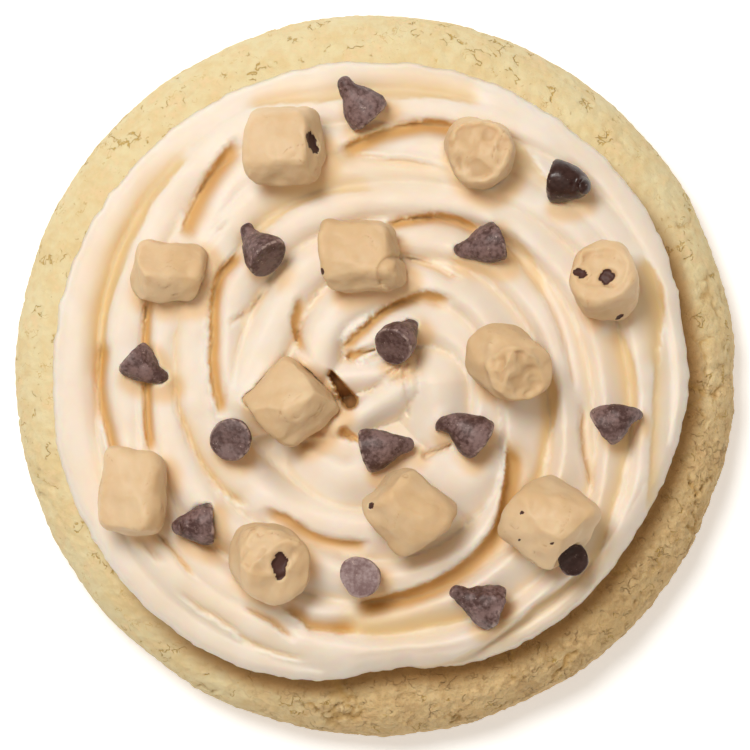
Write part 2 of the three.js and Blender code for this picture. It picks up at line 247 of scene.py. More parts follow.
swirl = {
    "eye": (1.85, -3.77),
    "outline": [45.7, 44.0, 42.9, 42.7, 42.5, 41.8, 41.1, 44.2, 46.5, 48.0, 49.2, 50.3,
                51.0, 51.8, 52.4, 52.6, 52.5, 52.1, 51.4, 50.9, 50.1, 49.3, 48.2, 46.5],
    "outlineStep": 15,
    "step": 30,
    # the ridges are broad and flat on one side of the eye, narrow and crisp on the other:
    # sharpness, inner and outer half width, drop
    "broad": (3.0, 3.2, 3.2, 1.9),
    "crisp": (1.3, 1.9, 5.2, 3.6),
    "crispHeading": 20,
    "petalDrop": 3.0,
    "taper": 16, "taperSink": 4,
    "floor": 3.0,
    "edge": 0.6,
    "wallRun": 3.0, "wallHeight": 7.6, "wallSlope": 2,
    "ridges": [
        {"start": 240, "width": 1.15, "high": 10.8, "low": 8.8,
         "radii": [9.5, 10.8, 12.6, 13.6, 13.9, 14.2, 15.8, 18.8, 20.5, 25.1,
                   29, 32.3, 35.9, 35, 36.1, 38.5, 38.4, 40.5, 40.6]},
        {"start": 210, "width": 1, "high": 11.4, "low": 8.2,
         "radii": [12.2, 15, 16.4, 18.8, 18.5, 17.8, 20.7, 25.1, 26.7, 27,
                   31.6, 34.2, 36.6, 40.5, 38.3, 40.2, 42.2]},
        {"start": 180, "width": 1, "high": 10.8, "low": 8.2,
         "radii": [21.4, 20.2, 23, 23.9, 25.1, 25.9, 26.6, 28.9, 30.7, 32, 35.6, 38.4, 35.5]},
        {"start": 180, "width": 1, "high": 10.4, "low": 7.4,
         "radii": [24.4, 28.1, 29.7, 30.1, 31.8, 32.6, 32.8, 36, 37.8, 37.9,
                   39.1, 41.6, 39.9, 42.8, 46.2, 44.1, 45.8]},
        {"start": 458, "width": 1.1, "high": 6.4, "low": 7,
         "radii": [42.3, 44.4, 46.8, 48.3, 50.3, 49.4, 48.6, 46.7, 44.9, 43.5]},
    ],
    "petals": [
        {"from": (4.5, 0.5), "to": (-5.4, -0.4), "high": 11.6, "low": 10.2, "width": 2.6},
        {"from": (5.2, -1.3), "to": (-5.1, -7.8), "high": 11.8, "low": 9.6, "width": 3},
        {"from": (9.4, -1.3), "to": (10, -8.7), "high": 12.2, "low": 11.2, "width": 4.6},
        {"from": (14.2, -14.5), "to": (-3.8, -14.5), "high": 11, "low": 10.6, "width": 6},
    ],
    # folds where one ridge laps over the next: angles, radii of the crisp edge, depth, width and
    # which way the wall faces, 1 towards the eye and -1 away from it
    "folds": [
        ((217, 225, 235, 241), (40.3, 41.8, 44.6, 46.2), 2.8, 2.9, 1),
        ((258, 265, 270, 279, 287), (38.6, 40.3, 41.5, 42.9, 43.5), 3.0, 2.5, 1),
        ((257, 270, 283), (38.5, 36.9, 36.0), 1.4, 0.8, 1),
        ((166, 180, 190, 198, 204), (37.1, 37.1, 37.8, 39.1, 40.1), 3.2, 1.5, 1),
        ((160, 174, 180, 186, 193), (42.6, 43.2, 43.9, 44.4, 44.8), 2.8, 2.0, 1),
        ((173, 180, 190, 199, 210, 217, 227), (25.4, 26, 27.2, 28.6, 30.8, 32.1, 32.2), 3.2, 1.8, 1),
        ((175, 189), (24.3, 24.7), 1.6, 0.6, 1),
        ((205, 212, 219, 227, 233), (14.0, 16.3, 18.6, 20.1, 20.9), 3.0, 1.9, 1),
        ((267, 277, 286, 292, 301), (26.7, 28.1, 29.4, 29.7, 29.8), 3.0, 1.7, 1),
        ((303, 317, 330, 345, 359), (29.3, 28.1, 28.0, 27.8, 28.1), 1.3, 1.0, -1),
        ((223, 240, 254, 272, 290, 305), (10.5, 10.9, 12.1, 14.8, 17.4, 18.1), 3.2, 1.7, 1),
        ((272, 283, 297, 304), (22, 21.8, 21.5, 22.4), 2.0, 1.0, 1),
        ((141, 150, 160, 170, 178, 187), (26.7, 28.5, 29.7, 30.8, 31.8, 33.0), 1.6, 1.0, 1),
        ((219, 224, 230), (36.5, 36.4, 36.5), 1.2, 0.6, 1),
        ((18, 38, 50, 61, 76, 88, 100), (18.9, 22.1, 24.9, 26.3, 28.0, 29.2, 31.0), 3.4, 2.8, -1),
        ((95, 117, 130, 140), (21.6, 22.6, 23.2, 24.3), 2.6, 1.8, -1),
        ((0, 8, 15, 22, 26), (28.9, 29.2, 30.6, 32.8, 34.2), 2.0, 1.0, -1),
        ((136, 144, 152), (39.6, 40.1, 40.9), 2.2, 0.8, 1),
        ((143, 152), (42.1, 43.6), 1.6, 1.2, 1),
        ((96, 104, 109, 112, 119), (36.0, 36.4, 36.9, 35.9, 35.1), 2.4, 2.0, 1),
        ((110, 118, 126), (39.2, 37.9, 38.3), 2.2, 1.0, 1),
        ((107, 120, 129, 138), (41.3, 42.4, 42.1, 43.3), 1.6, 0.6, 1),
        ((203, 215, 226), (26.9, 25.4, 24.2), 1.6, 0.8, 1),
    ],
    # soft hollows that deepen towards a crisp edge, shallow dips in the height with painted shade laid
    # over them: angles, edge radii, strength, widths, side
    "hollows": [
        ((182, 188, 195, 202, 208, 212, 217, 220, 224, 232),
         (42.8, 43.4, 43.8, 44.6, 44.9, 45.1, 45.6, 46.3, 46.4, 47.4),
         1.0, (1.4, 2.2, 2.8, 3.2, 3.2, 3.2, 3.0, 2.8, 2.4, 1.6), -1),
        ((243, 247, 252, 257, 262, 268, 276, 284, 289),
         (49.3, 48.3, 47.0, 45.8, 45.7, 45.6, 45.8, 46.6, 46.3),
         0.8, (1.2, 1.6, 2.0, 2.2, 2.6, 3.4, 4.0, 3.2, 2.0), -1),
        ((329, 334, 338, 342, 346, 350, 356), (44.6, 45.2, 45.4, 44.5, 43.0, 41.9, 41.4),
         1.0, (2.5, 4.0, 4.6, 4.2, 2.6, 1.6, 1.0), 1),
        ((344, 350, 355, 360, 366, 371, 376, 385), (40.6, 40.6, 40.3, 40.1, 40.3, 40.6, 41.3, 42.8),
         0.9, (1.2, 1.4, 1.5, 1.5, 1.6, 1.6, 1.8, 2.0), -1),
        ((340, 348, 353, 359, 372, 377, 382, 386, 391, 394, 398, 404),
         (36.0, 37.4, 37.8, 37.8, 37.7, 37.4, 37.7, 38.2, 39.2, 39.6, 39.8, 39.5),
         0.8, (2.0, 4.0, 4.0, 3.0, 2.0, 1.8, 2.0, 2.4, 2.4, 2.2, 2.0, 1.5), 1),
        ((12, 20, 30, 40, 50, 60), (18.2, 19.2, 20.8, 22.5, 24.9, 26.3), 0.7, (3, 4, 5, 5, 4, 3), -1),
        ((338, 345, 357, 367, 374, 381, 388, 393, 399, 406),
         (24.8, 25.2, 26.0, 25.6, 25.1, 25.3, 26.1, 25.9, 25.5, 25.8),
         1.0, (1.2, 1.8, 2.2, 1.8, 1.3, 1.1, 1.5, 2.2, 2.6, 1.6), 1),
        ((66, 77, 87, 99, 106), (35.3, 35.4, 35.4, 36.0, 36.6), 1.0, (2.0, 2.6, 3.2, 3.2, 2.5), 1),
        ((303, 308, 315, 322, 329), (31.4, 31.5, 31.0, 30.0, 29.3), 0.7, (1.5, 2.4, 2.8, 2.2, 1.2), 1),
        ((293, 297, 301, 305, 310), (44.6, 44.2, 43.0, 41.5, 40.0), 0.7, (2.0, 3.0, 3.0, 2.4, 1.0), 1),
        ((254, 262, 270, 278, 288), (38.7, 37.8, 36.9, 36.3, 36.3), 0.45, (3, 4.5, 4.5, 4.0, 3.0), 1),
        ((222, 232, 242, 251, 260, 269), (31.0, 31.5, 32.1, 32.0, 32.0, 31.2),
         0.7, (2.0, 3.0, 3.8, 3.6, 3.0, 2.0), -1),
        ((178, 184, 191, 198, 204), (31.8, 32.2, 32.9, 33.9, 34.6), 0.6, (1.0, 1.1, 1.1, 1.2, 1.0), 1),
        ((30, 44, 54, 66, 73, 80, 94), (40.4, 38.7, 38.2, 39.5, 40.2, 40.6, 41.2),
         0.55, (2.0, 3.0, 3.0, 2.6, 2.2, 1.8, 1.2), -1),
        ((105, 112, 120, 130, 140), (41.2, 41.8, 42.4, 42.1, 43.4), 0.4, (1.6, 2.0, 2.0, 2.0, 1.4), 1),
        ((141, 150, 160, 170, 180), (26.7, 28.5, 29.7, 30.8, 31.9), 0.6, (2.4, 2.6, 2.4, 2.0, 1.4), 1),
    ],
    "hollowDrop": 0.9, "hollowSpread": 1.25, "hollowFade": 1.5, "hollowEnds": 3.5,
    # the rim of the lower right drops to a ledge outside this line
    "ledge": ((34, 44, 49, 54, 61, 66, 73, 80, 92),
              (40.2, 38.7, 38.5, 38.2, 38.8, 39.5, 40.2, 40.6, 41.2)),
    "ledgeDrop": 2.6, "ledgeRun": (-0.3, 0.6), "ledgeEnds": 8,
    # the wall of a fold or hollow, from its crisp edge inwards, and the lip outside it
    "foldWall": (-0.25, 0.3), "foldShare": 0.72, "foldFloor": 3, "foldEnds": 3.0, "foldWander": 0.2,
    "foldLip": 0.15, "lipWidth": 0.9, "lipBack": (-0.25, 0.1),
    "degreeArc": 0.0175,    # arc of one degree, as a share of the radius
    # gaps between the last lobes: both ends, depth, half width at each end
    "gaps": [
        ((-6.7, 0.3), (-3.8, -4.0), 5.0, 0.45, 1.25), ((-3.6, 2.9), (-0.3, 3.9), 2.6, 0.8, 0.4),
        ((-4.6, -8.7), (-2.4, -10.0), 2.6, 0.9, 0.4), ((7.7, -12.2), (11.5, -10.5), 1.6, 0.6, 0.3),
        ((4.5, 1.2), (5.0, -6.0), 0.6, 0.5, 0.3), ((3.2, 1.0), (-3.0, -4.0), 0.8, 0.4, 0.6),
        ((-10.4, -10.4), (-4.6, -11.6), 1.1, 0.6, 1.7),
    ],
    "gapSharpness": (2, 1.2), "gapShade": 0.7,
}


def through(values, place):
    # smooth curve through evenly spaced values, at a place counted in steps
    values = np.asarray(values, float)
    last = len(values) - 1
    first = np.clip(np.floor(place).astype(int), 0, last - 1)
    part = place - first
    padded = np.concatenate([[2 * values[0] - values[1]], values, [2 * values[-1] - values[-2]]])
    before, start, end, after = (padded[first + step] for step in range(4))
    return 0.5 * (2 * start + (end - before) * part
                  + (2 * before - 5 * start + 4 * end - after) * part ** 2
                  + (3 * start - before - 3 * end + after) * part ** 3)


def outlineAt(angle):
    radii = swirl["outline"]
    around = [radii[-1], *radii, radii[0], radii[1]]
    return through(around, angle % 360 / swirl["outlineStep"] + 1)


def cookieTop(distance):
    radii, heights = zip(*reversed(cookie["profile"][cookie["topFrom"]:]))
    return np.interp(distance / cookie["radius"], radii, heights) * cookie["height"]


def polar(x, y):
    across, down = x - swirl["eye"][0], swirl["eye"][1] - y
    return np.hypot(across, down), np.degrees(np.arctan2(down, across)) % 360


def nearLine(x, y, start, end):
    run, climb = end[0] - start[0], end[1] - start[1]
    along = np.clip(((x - start[0]) * run + (y - start[1]) * climb) / (run ** 2 + climb ** 2), 0, 1)
    return np.hypot(x - start[0] - along * run, y - start[1] - along * climb), along


def crispEdge(angle, angles, radii):
    # the angle counted on from the edge's start, and the radius there, wandering a little
    around = (angle - angles[0]) % 360 + angles[0]
    along = np.radians(around) * radii[0]
    wander = np.sin(0.35 * along + 2 * np.sin(0.13 * along))
    return around, np.interp(around, angles, radii) + swirl["foldWander"] * wander


def besideEdge(radius, angle, angles, radii, side):
    # the angle, the distance into the recess, and the distance along from the nearer end
    around, edgeRadius = crispEdge(angle, angles, radii)
    fromEnd = np.minimum(around - angles[0], angles[-1] - around) * edgeRadius * swirl["degreeArc"]
    return around, side * (edgeRadius - radius), fromEnd


def snapToFolds(radius, angle, reach):
    # moves points that lie close to the top or foot of a fold's wall exactly onto it
    snapped = radius.copy()
    nearest = np.full(radius.shape, reach)
    for angles, radii, depth, width, side in swirl["folds"] + swirl["hollows"]:
        around, edgeRadius = crispEdge(angle, angles, radii)
        within = around < angles[-1]
        for step in swirl["foldWall"]:
            target = edgeRadius - side * step
            away = np.abs(target - radius)
            close = within & (away < nearest)
            snapped = np.where(close, target, snapped)
            nearest = np.where(close, away, nearest)
    return snapped


def ridgeHeight(radius, angle):
    height = np.full(radius.shape, swirl["floor"])
    crisp = 0.5 + 0.5 * np.cos(np.radians(angle - swirl["crispHeading"]))
    sharpness, inner, outer, drop = (broad + (narrow - broad) * crisp
                                     for broad, narrow in zip(swirl["broad"], swirl["crisp"]))
    for ridge in swirl["ridges"]:
        count = len(ridge["radii"]) - 1
        end = ridge["start"] + swirl["step"] * count
        for turn in range(3):
            around = angle + 360 * turn
            inside = (around >= ridge["start"] - swirl["taper"]) & (around <= end + swirl["taper"])
            held = np.clip(around, ridge["start"], end)
            place = (held - ridge["start"]) / swirl["step"]
            crest = through(ridge["radii"], place)
            width = np.where(radius > crest, outer, inner) * ridge["width"]
            top = ridge["high"] + (ridge["low"] - ridge["high"]) * place / count
            fall = drop * np.abs((radius - crest) / width) ** sharpness
            sunk = swirl["taperSink"] * ((around - held) / swirl["taper"]) ** 2
            height = np.maximum(height, np.where(inside, top - fall - sunk, 0))
    return height


def petalHeight(x, y):
    height = np.zeros(x.shape)
    for petal in swirl["petals"]:
        aside, along = nearLine(x, y, petal["from"], petal["to"])
        top = petal["high"] + (petal["low"] - petal["high"]) * along
        height = np.maximum(height, top - swirl["petalDrop"] * (aside / petal["width"]) ** 2)
    return height


def hollowDepth(radius, angle):
    # each soft hollow lowers the height a little, and the same share sets its painted shade
    hollows = np.zeros(radius.shape)
    for angles, radii, depth, width, side in swirl["hollows"]:
        around, inside, fromEnd = besideEdge(radius, angle, angles, radii, side)
        reach = np.maximum(inside, 0) / (swirl["hollowSpread"] * np.interp(around, angles, width))
        slope_and_shade = ramp(inside, *swirl["foldWall"]) * np.exp(-reach ** swirl["hollowFade"])
        hollows = np.maximum(hollows, depth * ramp(fromEnd, 0, swirl["hollowEnds"]) * slope_and_shade)
    return hollows


def foldDepth(radius, angle):
    folds, lips = np.zeros(radius.shape), np.zeros(radius.shape)
    for angles, radii, depth, width, side in swirl["folds"]:
        around, inside, fromEnd = besideEdge(radius, angle, angles, radii, side)
        strength = ramp(fromEnd, 0, swirl["foldEnds"])
        reach = np.maximum(inside, 0) / width
        recess = ramp(inside, *swirl["foldWall"]) * np.exp(-reach ** swirl["foldFloor"])
        folds = np.maximum(folds, depth * swirl["foldShare"] * strength * recess)
        lip = band(inside, 0, swirl["lipWidth"]) * (1 - ramp(inside, *swirl["lipBack"]))
        lips = np.maximum(lips, swirl["foldLip"] * strength * lip)
    return folds, lips


def ledgeDepth(radius, angle):
    angles, radii = swirl["ledge"]
    fromEnd = np.minimum(angle - angles[0], angles[-1] - angle)
    outside = ramp(radius - np.interp(angle, angles, radii), *swirl["ledgeRun"])
    return swirl["ledgeDrop"] * outside * ramp(fromEnd, 0, swirl["ledgeEnds"])


def gapDepth(x, y):
    gaps = np.zeros(x.shape)
    plain, deeper = swirl["gapSharpness"]
    for start, end, depth, startWidth, endWidth in swirl["gaps"]:
        aside, along = nearLine(x, y, start, end)
        width = startWidth + (endWidth - startWidth) * along
        gaps = np.maximum(gaps, depth * np.exp(-(aside / width) ** (plain + deeper * depth)))
    return gaps


def frostingHeight(x, y, edge):
    # height above the cookie, within the wall that rises from the uneven edge
    radius, angle = polar(x, y)
    height = np.maximum(ridgeHeight(radius, angle), petalHeight(x, y))
    hollows, gaps = hollowDepth(radius, angle), gapDepth(x, y)
    folds, lips = foldDepth(radius, angle)
    height = height - ledgeDepth(radius, angle) - gaps - swirl["hollowDrop"] * hollows
    inward = np.maximum(edge - radius, 0)
    share = np.minimum(inward / swirl["wallRun"], 1)
    wall = swirl["edge"] + swirl["wallHeight"] * np.sqrt(1 - (1 - share) ** 2)
    wall = wall + swirl["wallSlope"] * np.maximum(inward - swirl["wallRun"], 0)
    # the depth of the folds and gaps and the share of the soft hollows also set their painted shade
    return np.minimum(height - folds + lips, wall), np.maximum(folds, swirl["gapShade"] * gaps), hollows


# materials

def feed(tree, socket, value):
    if isinstance(value, bpy.types.NodeSocket):
        tree.links.new(value, socket)
    else:
        socket.default_value = value


def addNode(tree, kind, inputs=None, **settings):
    node = tree.nodes.new(kind)
    for name, value in settings.items():
        setattr(node, name, value)
    for name, value in (inputs or {}).items():
        feed(tree, node.inputs[name], value)
    return node


def combine(tree, operation, first, second):
    return addNode(tree, "ShaderNodeMath", {0: first, 1: second}, operation=operation).outputs[0]


def noiseIn(tree, place, size, detail, **more):
    return addNode(tree, "ShaderNodeTexNoise",
                   {"Vector": place, "Scale": size, "Detail": detail, **more}).outputs["Fac"]


def startGroup(name, inputs, output, kind="NodeSocketFloat"):
    group = bpy.data.node_groups.new(name, "ShaderNodeTree")
    for label, value in inputs.items():
        socket = group.interface.new_socket(name=label, in_out="INPUT", socket_type="NodeSocketFloat")
        socket.default_value = value
    group.interface.new_socket(name=output, in_out="OUTPUT", socket_type=kind)
    return group, group.nodes.new("NodeGroupInput").outputs, group.nodes.new("NodeGroupOutput").inputs


def makeMottleGroup():
    # two noises, a broad one and a fine one, as one patchy mask
    group, given, out = startGroup("mottle", {"Broad Size": 100.0, "Fine Size": 700.0, "Fine Share": 0.35,
                                              "Low": 0.35, "High": 0.65}, "Mask")
    place = addNode(group, "ShaderNodeTexCoord").outputs["Object"]
    broad = noiseIn(group, place, given["Broad Size"], 3.0)
    fine = noiseIn(group, place, given["Fine Size"], 4.0)
    both = addNode(group, "ShaderNodeMix", {"Factor": given["Fine Share"], "A": broad, "B": fine})
    mask = addNode(group, "ShaderNodeMapRange", {"Value": both.outputs["Result"],
                   "From Min": given["Low"], "From Max": given["High"]}, interpolation_type="SMOOTHSTEP")
    group.links.new(mask.outputs["Result"], out["Mask"])
    return group


def makeGrainGroup():
    # fine relief from noise and small cells, as a normal
    group, given, out = startGroup("grain", {"Noise Size": 900.0, "Cell Size": 700.0, "Cell Share": 0.4,
                                             "Strength": 0.3, "Distance": 0.0002},
                                   "Normal", "NodeSocketVector")
    place = addNode(group, "ShaderNodeTexCoord").outputs["Object"]
    rough = noiseIn(group, place, given["Noise Size"], 5.0, Roughness=0.62)
    cells = addNode(group, "ShaderNodeTexVoronoi", {"Vector": place, "Scale": given["Cell Size"]})
    both = addNode(group, "ShaderNodeMix", {"Factor": given["Cell Share"], "A": rough,
                                            "B": cells.outputs["Distance"]})
    bump = addNode(group, "ShaderNodeBump", {"Height": both.outputs["Result"],
                   "Strength": given["Strength"], "Distance": given["Distance"]})
    group.links.new(bump.outputs["Normal"], out["Normal"])
    return group


def makeCrackleGroup():
    # short wandering cracks, kept only where a patchy noise lets them through
    group, given, out = startGroup("crackle", {"Line Size": 300.0, "Width": 0.02, "Patch Size": 160.0,
                                               "Low": 0.5, "High": 0.6}, "Mask")
    place = addNode(group, "ShaderNodeTexCoord").outputs["Object"]
    middle = combine(group, "SUBTRACT", noiseIn(group, place, given["Line Size"], 2.0, Roughness=0.5), 0.5)
    aside = addNode(group, "ShaderNodeMath", {0: middle}, operation="ABSOLUTE").outputs[0]
    line = addNode(group, "ShaderNodeMapRange", {"Value": aside, "From Min": 0.0,
                   "From Max": given["Width"], "To Min": 1.0, "To Max": 0.0}).outputs["Result"]
    cover = addNode(group, "ShaderNodeMapRange", {"Value": noiseIn(group, place, given["Patch Size"], 2.0),
                    "From Min": given["Low"], "From Max": given["High"]}).outputs["Result"]
    group.links.new(combine(group, "MULTIPLY", line, cover), out["Mask"])
    return group


mottle = makeMottleGroup()
grain = makeGrainGroup()
crackle = makeCrackleGroup()


def useGroup(tree, group, *values):
    # the values are given in the order of the group's inputs, and the rest keep their defaults
    return addNode(tree, "ShaderNodeGroup", dict(enumerate(values)), node_tree=group).outputs[0]


def mixColours(tree, mask, first, second, share=1.0):
    factor = mask if share == 1.0 else combine(tree, "MULTIPLY", mask, share)
    mix = addNode(tree, "ShaderNodeMix", {0: factor}, data_type="RGBA")
    for slot, value in ((6, first), (7, second)):
        feed(tree, mix.inputs[slot], value if isinstance(value, bpy.types.NodeSocket) else (*value, 1))
    return mix.outputs[2]


def attributeMask(tree, name, low, high):
    value = addNode(tree, "ShaderNodeAttribute", attribute_name=name).outputs["Fac"]
    return addNode(tree, "ShaderNodeMapRange", {"Value": value, "From Min": low, "From Max": high},
                   interpolation_type="SMOOTHSTEP").outputs["Result"]


def addLayers(tree, tone, layers):
    # each layer: the attribute, where it starts and is full, its tone and its share
    for name, low, high, layerTone, share in layers:
        tone = mixColours(tree, attributeMask(tree, name, low, high), tone, layerTone, share)
    return tone


def startMaterial(name):
    material = bpy.data.materials.new(name)
    material.use_nodes = True
    return material, material.node_tree


def endMaterial(tree, tone, normal, roughness, specular, glow=None):
    # glow: weight, radius and scale of the light that passes under the surface
    shader = tree.nodes["Principled BSDF"]
    setInputs(shader, {"Roughness": roughness, "Specular IOR Level": specular})
    if glow:
        setInputs(shader, dict(zip(("Subsurface Weight", "Subsurface Radius", "Subsurface Scale"), glow)))
    tree.links.new(tone, shader.inputs["Base Color"])
    tree.links.new(normal, shader.inputs["Normal"])


def finishPiece(piece, material, node):
    smoothShade(piece)
    piece.data.materials.clear()
    piece.data.materials.append(material)
    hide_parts(node)
    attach(piece, "root")


# the cookie: a thick round, its bare rim broken into crumb and cracks

cookie = {
    "radius": 56.0,
    "height": 16.0,
    # radius and height as shares of the cookie's, from the middle of the underside to the top's
    "profile": [(0, 0), (0.72, 0), (0.94, 0), (0.975, 0.075), (0.995, 0.225), (1, 0.4),
                (0.99, 0.58), (0.962, 0.74), (0.92, 0.86), (0.865, 0.925), (0.8, 0.955),
                (0.6, 0.98), (0, 1)],
    "topFrom": 8,           # the point of the profile where the top begins
    "inset": 0.6,           # room left for lumps inside the solid's radius
    "segments": 780,
    "innerRings": 6, "rimRings": 62, "footRings": 22,
    "blurs": 3, "unblurred": (6, 20),
    "shadedSide": (0.62, -0.78),    # the side away from the key light: rougher crumb, and painted shade in the material
    "lumpSize": 9.0, "lumpHeight": 0.35,
    "crumbSize": 1.7, "crumbHeight": 0.2,
    "crackSize": 7.5, "crackDepth": 0.5, "crackWidth": 0.07, "wanderSize": 2.2, "wander": 0.9,
    "patchSize": 9,
    "seamWidth": 0.22, "seamDepth": 0.08,
    "grainSize": 0.9, "grainHeight": 0.14,
    "sink": 0.25,
    "paleTone": (0.83, 0.735, 0.46), "goldTone": (0.79, 0.64, 0.35), "blushTone": (0.90, 0.70, 0.44),
    # the second and third tones below are painted shade on the side away from the light; the specks are
    # the cookie's own
    "sideShadeTone": (0.72, 0.47, 0.21), "shadePatchTone": (0.52, 0.33, 0.15), "speckTone": (0.50, 0.33, 0.11),
    "seamTone": (0.56, 0.36, 0.08), "strokeTone": (0.32, 0.19, 0.08),
    # the first layer is the painted shadow of the frosting on the bare rim
    "layers": [("frosting_shadow", 0.0, 1.0, (0.42, 0.23, 0.08), 0.88),
               ("crack", 0.1, 0.9, (0.56, 0.34, 0.11), 0.7),
               ("bake", 0.0, 1.0, (0.50, 0.28, 0.09), 0.8)],
    "finish": (0.85, 0.2, (0.15, (1.0, 0.6, 0.3), 0.001)),
}


def makeCookieMaterial():
    material, tree = startMaterial("baked_cookie")
    shaded_side = attributeMask(tree, "shaded_side", 0.0, 1.0)
    tone = mixColours(tree, useGroup(tree, mottle, 130, 520, 0.5), cookie["paleTone"], cookie["goldTone"])
    blush = useGroup(tree, mottle, 260, 1100, 0.4, 0.5, 0.7)
    tone = mixColours(tree, blush, tone, cookie["blushTone"], 0.6)
    # painted shade: darker towards the side away from the key light
    tone = mixColours(tree, shaded_side, tone, cookie["sideShadeTone"], 0.6)
    # brown mottled patches only on the side away from the light, more painted shade
    shadedPatches = combine(tree, "MULTIPLY", useGroup(tree, mottle, 330, 900, 0.5, 0.48, 0.60), shaded_side)
    tone = mixColours(tree, shadedPatches, tone, cookie["shadePatchTone"], 0.5)
    specks = useGroup(tree, mottle, 900, 1700, 0.5, 0.62, 0.68)
    tone = mixColours(tree, specks, tone, cookie["speckTone"], 0.5)
    cracks = useGroup(tree, crackle, 520, 0.032, 290, 0.59, 0.63)
    fineCracks = useGroup(tree, crackle, 760, 0.028, 380, 0.58, 0.63)
    strokes = combine(tree, "MULTIPLY", useGroup(tree, crackle, 480, 0.045, 420, 0.50, 0.60), shaded_side)
    tone = mixColours(tree, fineCracks, tone, cookie["seamTone"], 0.6)
    tone = mixColours(tree, cracks, tone, cookie["seamTone"], 0.9)
    tone = mixColours(tree, strokes, tone, cookie["strokeTone"], 0.6)
    tone = addLayers(tree, tone, cookie["layers"])
    rough = addNode(tree, "ShaderNodeMapRange", {"Value": shaded_side, "To Min": 0.45, "To Max": 1.0})
    crumb = useGroup(tree, grain, 460, 700, 0.3, rough.outputs["Result"], 0.0012)
    split = addNode(tree, "ShaderNodeBump", {"Height": combine(tree, "MAXIMUM", cracks, strokes),
                    "Strength": 0.7, "Distance": 0.00025, "Normal": crumb}, invert=True)
    endMaterial(tree, tone, split.outputs["Normal"], *cookie["finish"])
    return material


def cookieStations():
    # places along the profile: few under the frosting, many on the bare rim and side
    radii, heights = (np.array(row) for row in zip(*reversed(cookie["profile"])))
    radii, heights = radii * (cookie["radius"] - cookie["inset"]), heights * cookie["height"]
    run = np.concatenate([[0], np.cumsum(np.hypot(np.diff(radii), np.diff(heights)))])
    shoulder, foot, end = run[1] + 2, run[-3] + 1, run[-1]
    places = np.concatenate([np.linspace(0, shoulder, cookie["innerRings"]),
                             np.linspace(shoulder, foot, cookie["rimRings"])[1:],
                             np.linspace(foot, end, cookie["footRings"])[1:]])
    smooth = [np.interp(places, run, line) for line in (radii, heights)]
    first, last = cookie["unblurred"]
    for line in smooth:
        blurred = line.copy()
        for turn in range(cookie["blurs"]):
            blurred[1:-1] = (blurred[:-2] + 2 * blurred[1:-1] + blurred[2:]) / 4
        line[first:-last] = blurred[first:-last]
    return smooth


def crumbRelief(point):
    # the height of lumps, crumbs and grain less the cracks, and the lines that show darker
    lump = noise.fractal(point / cookie["lumpSize"], 1.0, 2.0, 2)
    crumbs, _ = noise.voronoi(point / cookie["crumbSize"])
    wander = noise.noise_vector(point / cookie["wanderSize"]) * cookie["wander"]
    cells, _ = noise.voronoi((point + wander) / cookie["crackSize"])
    split = max(0.0, 1 - (cells[1] - cells[0]) / cookie["crackWidth"])
    patch = min(1.0, max(0.0, noise.noise(point / cookie["patchSize"] + Vector((3, 7, 1))) * 4.0 - 0.3))
    seam = max(0.0, 1 - (crumbs[1] - crumbs[0]) / cookie["seamWidth"])
    fine = noise.fractal(point / cookie["grainSize"], 0.8, 2.0, 3)
    relief = lump * cookie["lumpHeight"] + (0.5 - crumbs[0]) * cookie["crumbHeight"]
    relief += fine * cookie["grainHeight"]
    relief -= split * patch * cookie["crackDepth"] + seam * cookie["seamDepth"]
    return relief, split * patch + 0.2 * seam * patch


def makeCookie():
    radii, heights = cookieStations()
    piece, station, turn = spunDisc("cookie_baked", len(radii), cookie["segments"])
    base = spun(radii[station], turn, heights[station])
    slopeRadius, slopeHeight = np.gradient(radii), np.gradient(heights)
    length = np.hypot(slopeRadius, slopeHeight)
    normal = spun((-slopeHeight / length)[station], turn, (slopeRadius / length)[station])
    radius, angle = polar(base[:, 0], base[:, 1])
    pastFrosting = radius - outlineAt(angle)
    bare = np.where(base[:, 2] > cookie["height"] * 0.5, ramp(pastFrosting, -1.0, 0.6), 1.0)
    bare = bare * ramp(base[:, 2], 0.0, 1.5)
    # how far a place lies towards the side away from the light: its crumb is rougher and it gets painted
    # shade
    towardShade = base[:, :2] @ np.array(cookie["shadedSide"]) / cookie["radius"]
    roughness = 0.6 + 0.6 * ramp(towardShade, -0.3, 0.8)
    move, crack = np.zeros(len(base)), np.zeros(len(base))
    for index in np.nonzero(bare > 0)[0]:
        relief, lines = crumbRelief(Vector(base[index]))
        move[index] = relief * bare[index] * roughness[index]
        crack[index] = lines * bare[index] * (1.2 * roughness[index] - 0.5)
    shaped = base + normal * (move - cookie["sink"] * bare)[:, None]
    shaped[:, 2] = np.maximum(shaped[:, 2], 0)
    writePoints(piece, shaped * mm)
    keepValues(piece, "crack", crack)
    keepValues(piece, "bake", 1 - ramp(base[:, 2] + move * 1.5, 0.6, 9.0))
    # the side away from the light, for its painted shade
    keepValues(piece, "shaded_side", ramp(towardShade, 0.1, 1.0))
    # painted shadow of the frosting on the cookie just outside its edge, strongest on the side away from
    # the light
    frosting_shadow = (1 - ramp(pastFrosting, 0.4, 4.4)) * ramp(base[:, 2], 9, 12)
    keepValues(piece, "frosting_shadow", frosting_shadow * (0.12 + 0.88 * ramp(towardShade, -0.15, 0.45)))
    closeMesh(piece)
    finishPiece(piece, makeCookieMaterial(), "cookie")
    print("cookie", len(piece.data.polygons), "faces")
    return piece


# dough: stubby pieces cut from a rope, squeezed and knocked flat in places

